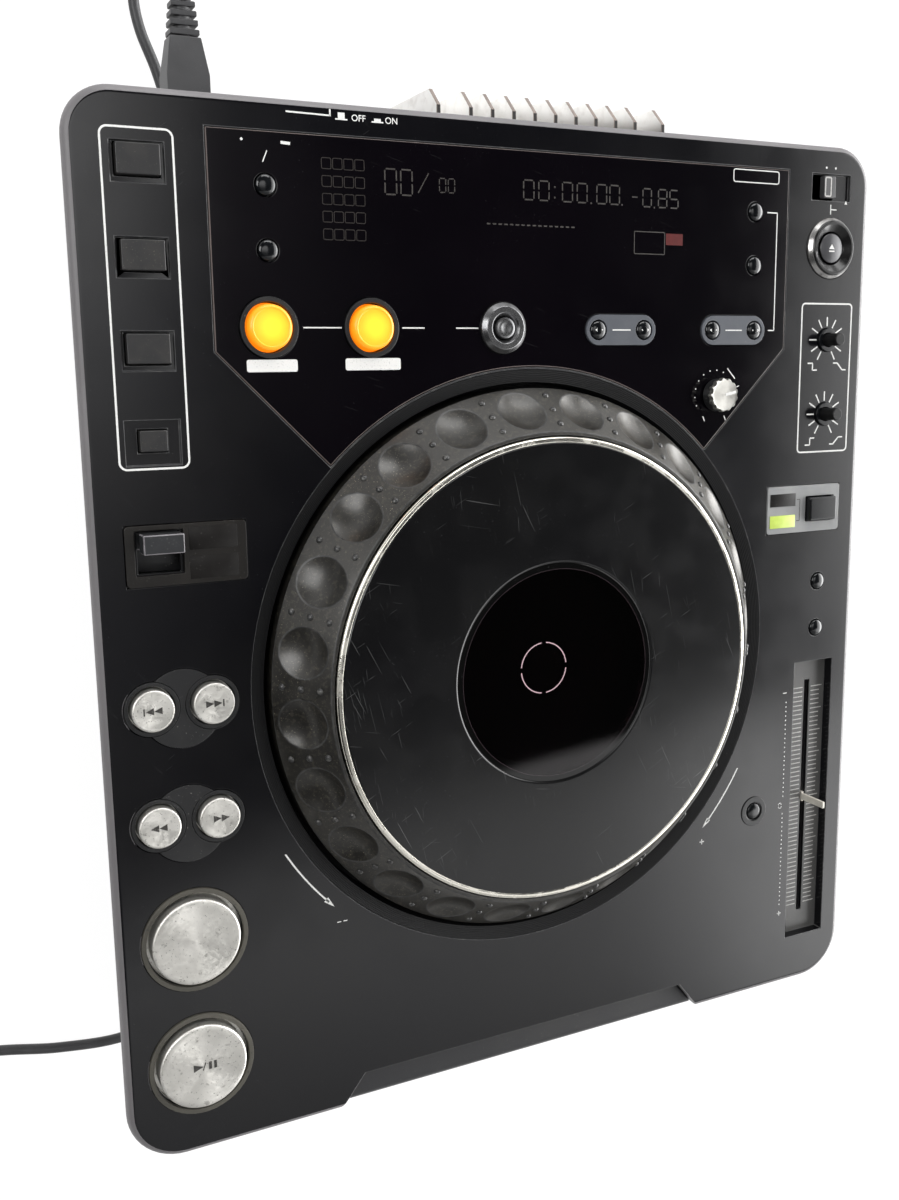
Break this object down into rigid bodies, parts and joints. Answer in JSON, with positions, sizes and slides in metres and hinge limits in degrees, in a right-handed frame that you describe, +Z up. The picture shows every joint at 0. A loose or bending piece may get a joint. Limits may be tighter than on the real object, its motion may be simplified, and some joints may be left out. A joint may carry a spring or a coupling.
{
  "type": "tabletop disc player with jog wheel",
  "caption": "Tabletop disc player with a front disc slot, a large turning jog wheel, push buttons, a long tempo fader and rear sockets.",
  "frame": {"origin": "on the table under the middle of the case's box, cord left out", "axes": "+Z up, +Y to the back where the sockets are, +X to the right as the user faces it"},
  "size_m": [0.4675, 0.4367, 0.105],
  "materials": {
    "cover_plastic": "fine grained black",
    "black_steel": "satin black",
    "front_plastic": "fine grained black",
    "fin_metal": "black anodised",
    "panel_gloss": "deep gloss black",
    "board": "green board",
    "steel": "plated",
    "well_plastic": "satin black",
    "display_glass": "dark maroon gloss",
    "trim_plastic": "painted grey",
    "black_plastic": "satin",
    "rubber": "matt",
    "wheel_plastic": "worn satin grey-black",
    "chrome": "bright, worn",
    "sheet_plastic": "satin black, scratched",
    "button_silver": "spun silver paint, worn",
    "pad_plastic": "matt black",
    "lamp_amber": "lit amber",
    "small_gloss": "gloss black",
    "eject_grey": "dark satin metal paint",
    "lever_grey": "satin grey",
    "blade_metal": "bare"
  },
  "bodies": {
    "player": {"top_cover": "cover_plastic", "base_tray": "black_steel", "slot_bezel": "front_plastic", "cooling_fins": "fin_metal", "display_panel": "panel_gloss", "display_board": "board", "circuit_boards": "board", "drive_frame": "steel", "jog_well": "well_plastic", "jog_display": "display_glass", "control_trims": "trim_plastic", "fader_unit": "steel", "rear_sockets": "black_plastic", "feet": "rubber", "screws": "steel", "cord_connector": "rubber", "mains_cord": "rubber", "cord_coil": "rubber", "mains_plug": "rubber"},
    "jog": {"jog_wheel": "wheel_plastic", "jog_platter": "chrome", "jog_sheet": "sheet_plastic"},
    "play_button": {"play_button": "button_silver"},
    "cue_button": {"cue_button": "button_silver"},
    "search_back_button": {"search_back_button": "button_silver"},
    "search_forward_button": {"search_forward_button": "button_silver"},
    "track_back_button": {"track_back_button": "button_silver"},
    "track_next_button": {"track_next_button": "button_silver"},
    "hot_cue_a": {"hot_cue_a": "pad_plastic"},
    "hot_cue_b": {"hot_cue_b": "pad_plastic"},
    "hot_cue_c": {"hot_cue_c": "pad_plastic"},
    "rec_button": {"rec_button": "pad_plastic"},
    "time_button": {"time_button": "small_gloss"},
    "text_button": {"text_button": "small_gloss"},
    "loop_in_button": {"loop_in_button": "lamp_amber"},
    "loop_out_button": {"loop_out_button": "lamp_amber"},
    "loop_exit_button": {"loop_exit_button": "small_gloss"},
    "folder_back_button": {"folder_back_button": "small_gloss"},
    "folder_next_button": {"folder_next_button": "small_gloss"},
    "memory_button": {"memory_button": "small_gloss"},
    "delete_button": {"delete_button": "small_gloss"},
    "call_back_button": {"call_back_button": "small_gloss"},
    "call_next_button": {"call_next_button": "small_gloss"},
    "eject_button": {"eject_button": "eject_grey"},
    "mode_button": {"mode_button": "eject_grey"},
    "range_button": {"range_button": "small_gloss"},
    "master_button": {"master_button": "small_gloss"},
    "reset_button": {"reset_button": "small_gloss"},
    "disc_spindle": {"disc_spindle": "steel"},
    "feed_roller": {"feed_roller": "rubber"},
    "laser_sled": {"laser_sled": "black_plastic"},
    "lead_screw": {"lead_screw": "steel"},
    "direction_lever": {"direction_lever": "lever_grey"},
    "lock_switch": {"lock_switch": "lever_grey"},
    "power_button": {"power_button": "black_plastic"},
    "adjust_knob": {"adjust_knob": "button_silver"},
    "brake_shaft": {"brake_shaft": "black_plastic"},
    "start_shaft": {"start_shaft": "black_plastic"},
    "tempo_lever": {"tempo_lever": "blade_metal"}
  },
  "joints": [
    {"name": "jog_turn", "type": "hinge", "parent": "player", "child": "jog", "pos_m": [0, -0.0221, 0.0855], "axis": [0, 0, 1], "continuous": true},
    {"name": "play_press", "type": "slide", "parent": "player", "child": "play_button", "axis": [0, 0, 1], "range_m": [-0.001, 0], "stiffness_N_per_m": 600, "springref_m": 0.001},
    {"name": "cue_press", "type": "slide", "parent": "player", "child": "cue_button", "axis": [0, 0, 1], "range_m": [-0.001, 0], "stiffness_N_per_m": 600, "springref_m": 0.001},
    {"name": "search_back_press", "type": "slide", "parent": "player", "child": "search_back_button", "axis": [0, 0, 1], "range_m": [-0.001, 0], "stiffness_N_per_m": 400, "springref_m": 0.001},
    {"name": "search_forward_press", "type": "slide", "parent": "player", "child": "search_forward_button", "axis": [0, 0, 1], "range_m": [-0.001, 0], "stiffness_N_per_m": 400, "springref_m": 0.001},
    {"name": "track_back_press", "type": "slide", "parent": "player", "child": "track_back_button", "axis": [0, 0, 1], "range_m": [-0.001, 0], "stiffness_N_per_m": 400, "springref_m": 0.001},
    {"name": "track_next_press", "type": "slide", "parent": "player", "child": "track_next_button", "axis": [0, 0, 1], "range_m": [-0.001, 0], "stiffness_N_per_m": 400, "springref_m": 0.001},
    {"name": "hot_cue_a_press", "type": "slide", "parent": "player", "child": "hot_cue_a", "axis": [0, 0, 1], "range_m": [-0.001, 0], "stiffness_N_per_m": 400, "springref_m": 0.001},
    {"name": "hot_cue_b_press", "type": "slide", "parent": "player", "child": "hot_cue_b", "axis": [0, 0, 1], "range_m": [-0.001, 0], "stiffness_N_per_m": 400, "springref_m": 0.001},
    {"name": "hot_cue_c_press", "type": "slide", "parent": "player", "child": "hot_cue_c", "axis": [0, 0, 1], "range_m": [-0.001, 0], "stiffness_N_per_m": 400, "springref_m": 0.001},
    {"name": "rec_press", "type": "slide", "parent": "player", "child": "rec_button", "axis": [0, 0, 1], "range_m": [-0.001, 0], "stiffness_N_per_m": 400, "springref_m": 0.001},
    {"name": "time_press", "type": "slide", "parent": "player", "child": "time_button", "axis": [0, 0, 1], "range_m": [-0.001, 0], "stiffness_N_per_m": 400, "springref_m": 0.001},
    {"name": "text_press", "type": "slide", "parent": "player", "child": "text_button", "axis": [0, 0, 1], "range_m": [-0.001, 0], "stiffness_N_per_m": 400, "springref_m": 0.001},
    {"name": "loop_in_press", "type": "slide", "parent": "player", "child": "loop_in_button", "axis": [0, 0, 1], "range_m": [-0.001, 0], "stiffness_N_per_m": 400, "springref_m": 0.001},
    {"name": "loop_out_press", "type": "slide", "parent": "player", "child": "loop_out_button", "axis": [0, 0, 1], "range_m": [-0.001, 0], "stiffness_N_per_m": 400, "springref_m": 0.001},
    {"name": "loop_exit_press", "type": "slide", "parent": "player", "child": "loop_exit_button", "axis": [0, 0, 1], "range_m": [-0.001, 0], "stiffness_N_per_m": 400, "springref_m": 0.001},
    {"name": "folder_back_press", "type": "slide", "parent": "player", "child": "folder_back_button", "axis": [0, 0, 1], "range_m": [-0.001, 0], "stiffness_N_per_m": 400, "springref_m": 0.001},
    {"name": "folder_next_press", "type": "slide", "parent": "player", "child": "folder_next_button", "axis": [0, 0, 1], "range_m": [-0.001, 0], "stiffness_N_per_m": 400, "springref_m": 0.001},
    {"name": "memory_press", "type": "slide", "parent": "player", "child": "memory_button", "axis": [0, 0, 1], "range_m": [-0.001, 0], "stiffness_N_per_m": 400, "springref_m": 0.001},
    {"name": "delete_press", "type": "slide", "parent": "player", "child": "delete_button", "axis": [0, 0, 1], "range_m": [-0.001, 0], "stiffness_N_per_m": 400, "springref_m": 0.001},
    {"name": "call_back_press", "type": "slide", "parent": "player", "child": "call_back_button", "axis": [0, 0, 1], "range_m": [-0.001, 0], "stiffness_N_per_m": 400, "springref_m": 0.001},
    {"name": "call_next_press", "type": "slide", "parent": "player", "child": "call_next_button", "axis": [0, 0, 1], "range_m": [-0.001, 0], "stiffness_N_per_m": 400, "springref_m": 0.001},
    {"name": "eject_press", "type": "slide", "parent": "player", "child": "eject_button", "axis": [0, 0, 1], "range_m": [-0.001, 0], "stiffness_N_per_m": 400, "springref_m": 0.001},
    {"name": "mode_press", "type": "slide", "parent": "player", "child": "mode_button", "axis": [0, 0, 1], "range_m": [-0.001, 0], "stiffness_N_per_m": 400, "springref_m": 0.001},
    {"name": "range_press", "type": "slide", "parent": "player", "child": "range_button", "axis": [0, 0, 1], "range_m": [-0.001, 0], "stiffness_N_per_m": 400, "springref_m": 0.001},
    {"name": "master_press", "type": "slide", "parent": "player", "child": "master_button", "axis": [0, 0, 1], "range_m": [-0.001, 0], "stiffness_N_per_m": 400, "springref_m": 0.001},
    {"name": "reset_press", "type": "slide", "parent": "player", "child": "reset_button", "axis": [0, 0, 1], "range_m": [-0.001, 0], "stiffness_N_per_m": 400, "springref_m": 0.001},
    {"name": "spindle_turn", "type": "hinge", "parent": "player", "child": "disc_spindle", "pos_m": [0, -0.111, 0.042], "axis": [0, 0, 1], "continuous": true},
    {"name": "roller_turn", "type": "hinge", "parent": "player", "child": "feed_roller", "pos_m": [0, -0.1645, 0.043], "axis": [1, 0, 0], "continuous": true},
    {"name": "sled_slide", "type": "slide", "parent": "player", "child": "laser_sled", "axis": [0, 1, 0], "range_m": [0, 0.034]},
    {"name": "screw_turn", "type": "hinge", "parent": "player", "child": "lead_screw", "pos_m": [0.027, -0.063, 0.041], "axis": [0, 1, 0], "range_deg": [-1, 4090]},
    {"name": "direction_slide", "type": "slide", "parent": "player", "child": "direction_lever", "axis": [0, 1, 0], "range_m": [-0.007, 0]},
    {"name": "lock_slide", "type": "slide", "parent": "player", "child": "lock_switch", "axis": [1, 0, 0], "range_m": [-0.0044, 0]},
    {"name": "power_press", "type": "slide", "parent": "player", "child": "power_button", "axis": [0, 1, 0], "range_m": [-0.0025, 0], "stiffness_N_per_m": 500, "springref_m": 0.001},
    {"name": "adjust_turn", "type": "hinge", "parent": "player", "child": "adjust_knob", "pos_m": [0.0834, 0.0764, 0.0855], "axis": [0, 0, 1], "range_deg": [-150, 150]},
    {"name": "brake_turn", "type": "hinge", "parent": "player", "child": "brake_shaft", "pos_m": [0.14, 0.0976, 0.0855], "axis": [0, 0, 1], "range_deg": [-150, 150]},
    {"name": "start_turn", "type": "hinge", "parent": "player", "child": "start_shaft", "pos_m": [0.14, 0.0675, 0.0855], "axis": [0, 0, 1], "range_deg": [-150, 150]},
    {"name": "tempo_slide", "type": "slide", "parent": "player", "child": "tempo_lever", "axis": [0, 1, 0], "range_m": [-0.05, 0.05]}
  ],
  "couplings": [
    {"joint": "screw_turn", "follows": "sled_slide", "rad_per_m": 2094.4}
  ]
}
